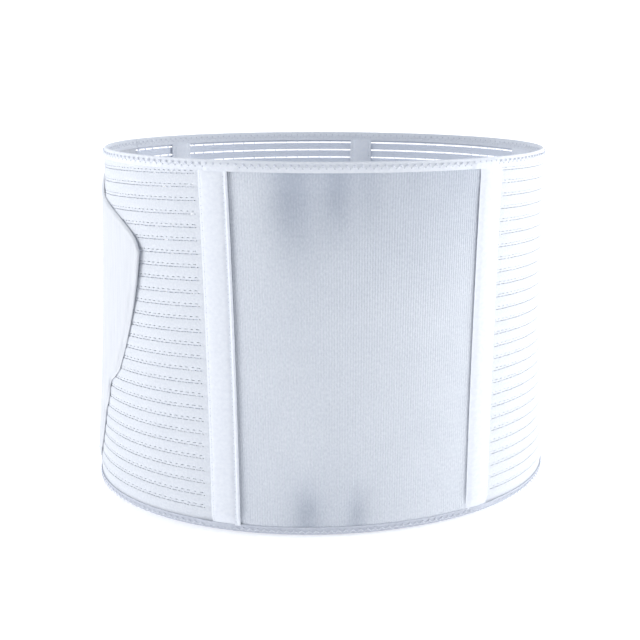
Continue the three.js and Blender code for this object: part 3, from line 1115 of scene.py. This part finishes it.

# %% [markdown]
# ## Stitches
# One node tree sews every line. It places points along a guide and moves them in turn to one hole,
# over the cloth, to the other hole and over again, then draws a thread through them. With no swing
# it makes a straight row. At each hole it puts a small dimple whose dark colour is painted shade.


# %% The node tree of the stitches
def stitch_tree():
    """Thread and needle holes along a guide, whose points know which way the cloth faces."""
    bench, given = new_tree("sewn_line", {
        "Step": 1.2 * mm, "Swing": 0.9 * mm, "Bury": 0.3 * mm, "Rise": 0.12 * mm,
        "Thread Radius": 0.2 * mm, "Hole Radius": 0.42 * mm,
    })
    line = bench.node("GeometryNodeMeshToCurve", Mesh=given["Geometry"])
    spaced = bench.node(
        "GeometryNodeResampleCurve", {"mode": "LENGTH"},
        Curve=bench.wire(line), Length=given["Step"],
    )
    turn = bench.wire(bench.node("GeometryNodeInputIndex")) % 4.0
    one_side, other_side = turn < 0.5, abs(turn - 2.0) < 0.5
    in_cloth = one_side + other_side
    outward = bench.wire(
        bench.node("GeometryNodeInputNamedAttribute", {"data_type": "FLOAT_VECTOR"}, Name="outward"),
        "Attribute",
    )
    depth = (1 - in_cloth) * given["Rise"] - in_cloth * given["Bury"]
    side_shift = bench.node("ShaderNodeCombineXYZ", Z=(one_side - other_side) * given["Swing"])
    shift = bench.vector("ADD", bench.scaled(outward, depth), bench.wire(side_shift))
    sewn = bench.node("GeometryNodeSetPosition", Geometry=bench.wire(spaced), Offset=shift)
    round_section = bench.node(
        "GeometryNodeCurvePrimitiveCircle", Resolution=5, Radius=given["Thread Radius"]
    )
    tube = bench.node(
        "GeometryNodeCurveToMesh",
        Curve=bench.wire(sewn), Profile_Curve=bench.wire(round_section), Fill_Caps=True,
    )
    dressed = bench.node(
        "GeometryNodeSetMaterial", Geometry=bench.wire(tube), Material=given["Material"]
    )
    dimple = bench.node("GeometryNodeMeshUVSphere", Segments=7, Rings=4, Radius=given["Hole Radius"])
    flat_turn = bench.node(
        "FunctionNodeAlignRotationToVector", {"axis": "Z"}, Vector=outward, Factor=1.0
    )
    holes = bench.node(
        "GeometryNodeInstanceOnPoints", Points=bench.wire(sewn), Selection=in_cloth > 0.5,
        Instance=bench.wire(dimple), Rotation=bench.wire(flat_turn),
    )
    wide = one_side * 0.4 + 0.6
    hole_scale = bench.node("ShaderNodeCombineXYZ", X=wide, Y=wide, Z=0.35)
    bench.join(holes.inputs["Scale"], bench.wire(hole_scale))
    surfaced = bench.node(
        "GeometryNodeTranslateInstances", Instances=bench.wire(holes),
        Translation=bench.scaled(outward, given["Bury"]), Local_Space=False,
    )
    real = bench.node("GeometryNodeRealizeInstances", Geometry=bench.wire(surfaced))
    # The needle holes take the darker hole colour, which is painted shade.
    dark = bench.node(
        "GeometryNodeSetMaterial", Geometry=bench.wire(real), Material=painted_hole_shade
    )
    joined = bench.node("GeometryNodeJoinGeometry")
    bench.join(joined.inputs[0], bench.wire(dressed))
    bench.join(joined.inputs[0], bench.wire(dark))
    bench.join(bench.node("NodeGroupOutput").inputs["Geometry"], bench.wire(joined))
    return bench.tree


sewn_line = stitch_tree()
print("stitch tree", len(sewn_line.nodes), "nodes")


# %% [markdown]
# ### Guides for the stitches
# A guide is a chain of points on the cloth, with the direction that the cloth faces at each. The
# bindings are sewn in a zigzag, seen inside and outside. The tapes and bands have straight rows.


# %% Sew every line
def chain(lines):
    """Guide of several open lines, each a pair of points and outward directions."""
    places, facing, edges, first = [], [], [], 0
    for points, out in lines:
        places.append(points)
        facing.append(out)
        edges += [(first + i, first + i + 1) for i in range(len(points) - 1)]
        first += len(points)
    return guide_mesh("stitch_guide", np.concatenate(places), edges, [], outward=np.concatenate(facing))


def ring_line(z, out, inwards=False):
    """A line round the loop at a height."""
    angles = ring_angles(1200, z)
    facing = outwards(angles, np.full(1200, z))
    return wall(angles, z, out), -facing if inwards else facing


def upright_line(line, by, z, out, inwards=False):
    """A line up the wall, a length beside a seam."""
    angles = line_at(line, z) + by / edge_per_angle(line_at(line, z), z)
    facing = outwards(angles, z)
    return wall(angles, z, out), -facing if inwards else facing


def sew(name, lines, step, swing, bury, radius, hole):
    """One piece of stitches along one or more lines."""
    sizes = {"Step": step, "Swing": swing, "Bury": bury, "Rise": 0.1 * mm,
             "Thread Radius": radius, "Hole Radius": hole}
    hand_over(grow(name, chain(lines), sewn_line, sizes, thread), thread)


top_z = height - binding_heights["top"] / 2
bottom_z = binding_heights["bottom"] / 2
for edge, z in (("top", top_z), ("bottom", bottom_z)):
    for face, line, hole in (
        ("outside", ring_line(z, binding_out), 0.9 * mm),
        ("inside", ring_line(z, binding_in, inwards=True), 0.5 * mm),
    ):
        sew(
            f"{edge}_zigzag_{face}", [line], step=float(girth) / (zigzag_count * 4 + 0.5),
            swing=zigzag_swing, bury=0.25 * mm, radius=0.17 * mm, hole=hole,
        )

row_end = 9 * mm
line_z = rows_between(row_end, height - row_end, 2 * mm)
tape_lines = []
for hand, side, stitches in (("left", -1, (front_stitch, outer_stitch)), ("right", 1, (outer_stitch,))):
    for at in stitches:
        tape_lines.append(upright_line(
            front_edges[hand], side * at, line_z, tape_face(hand, at, line_z)))
sew(
    "tape_stitches", tape_lines, step=1.35 * mm,
    swing=0.0, bury=0.2 * mm, radius=0.16 * mm, hole=0.45 * mm,
)

band_lines = []
groove_out = band_out - tape_wall + 0.4 * mm
for band in inner_bands:
    for side in (-1, 1):
        by = side * (band["width"] / 2 - band_inset)
        band_lines.append(upright_line(band["line"], by, line_z, groove_out, inwards=True))
sew(
    "band_stitches", band_lines, step=1.35 * mm,
    swing=0.0, bury=0.2 * mm, radius=0.16 * mm, hole=0.3 * mm,
)

# %% [markdown]
# ## Floor, light and camera
# The belt stands on a plain white floor before a white backdrop. Both glow a little, so that they
# stay white behind it. Two soft panels stand at its sides, a little before it, and a large one hangs
# high behind it. The middle of the front turns away from all three, so it reads darker than the
# sides. The panels light the scene but don't show in it.


# %% The floor
def plain_material(name, colour, roughness, glow=0.0):
    material = bpy.data.materials.new(name)
    material.use_nodes = True
    surface = material.node_tree.nodes["Principled BSDF"]
    surface.inputs["Base Color"].default_value = (*colour, 1)
    surface.inputs["Roughness"].default_value = roughness
    surface.inputs["Emission Color"].default_value = (1, 1, 1, 1)
    surface.inputs["Emission Strength"].default_value = glow
    return material


floor_size = 12.0
floor_mesh = bpy.data.meshes.new("floor")
half = floor_size / 2
floor_mesh.from_pydata(
    [(-half, -half, 0), (half, -half, 0), (half, half, 0), (-half, half, 0)], [], [(0, 1, 2, 3)]
)
floor_mesh.materials.append(plain_material("pale_floor", (0.92, 0.92, 0.93), 0.9, glow=0.34))
floor = bpy.data.objects.new("floor", floor_mesh)
bpy.context.scene.collection.objects.link(floor)

backdrop_distance, backdrop_half, backdrop_height = 2.4, 2.2, 1.6
backdrop_mesh = bpy.data.meshes.new("backdrop")
backdrop_mesh.from_pydata(
    [(x, backdrop_distance, z) for x, z in (
        (-backdrop_half, 0), (backdrop_half, 0),
        (backdrop_half, backdrop_height), (-backdrop_half, backdrop_height),
    )],
    [], [(0, 1, 2, 3)],
)
backdrop_mesh.materials.append(plain_material("lit_backdrop", (0.9, 0.9, 0.9), 0.9, glow=0.6))
backdrop = bpy.data.objects.new("backdrop", backdrop_mesh)
bpy.context.scene.collection.objects.link(backdrop)

# %% The lights
world = bpy.data.worlds.new("studio")
bpy.context.scene.world = world
world.use_nodes = True
world.node_tree.nodes["Background"].inputs["Color"].default_value = (0.88, 0.93, 1.0, 1)
world.node_tree.nodes["Background"].inputs["Strength"].default_value = 0.38


def soft_light(name, place, aim, size, watts, colour=(1, 1, 1)):
    """A square panel of light at a place, turned to what it aims at."""
    data = bpy.data.lights.new(name, "AREA")
    data.shape, data.size, data.energy, data.color = "SQUARE", size, watts, colour
    light = bpy.data.objects.new(name, data)
    light.location = place
    light.visible_camera = False
    light.rotation_euler = (Vector(aim) - Vector(place)).to_track_quat("-Z", "Y").to_euler()
    bpy.context.scene.collection.objects.link(light)


belt_middle = (0, 0, height / 2)
soft_light("right_panel_light", (1.25, -0.3, 0.2), belt_middle, 0.9, 18)
soft_light("left_panel_light", (-1.25, -0.3, 0.35), belt_middle, 0.9, 8.8)
soft_light("ceiling_light", (0, 0.7, 2.4), (0, 0.7, 0), 3.2, 27, (0.95, 0.975, 1.0))

# %% The camera
focal_pixels, picture_pixels = 1016.0, 640
camera_data = bpy.data.cameras.new("camera")
camera_data.sensor_width = 36.0
camera_data.lens = camera_data.sensor_width * focal_pixels / picture_pixels
camera = bpy.data.objects.new("camera", camera_data)
turn_round, look_down, roll = math.radians(-10), math.radians(14.84), 0.009
camera_spot = Vector((-135.8 * mm, -747.7 * mm, 316.9 * mm))
facing = (
    Matrix.Rotation(turn_round, 4, "Z")
    @ Matrix.Rotation(math.pi / 2 - look_down, 4, "X")
    @ Matrix.Rotation(roll, 4, "Z")
)
camera.matrix_world = Matrix.Translation(camera_spot) @ facing
bpy.context.scene.collection.objects.link(camera)
bpy.context.scene.camera = camera
bpy.context.scene.view_settings.view_transform = "Standard"
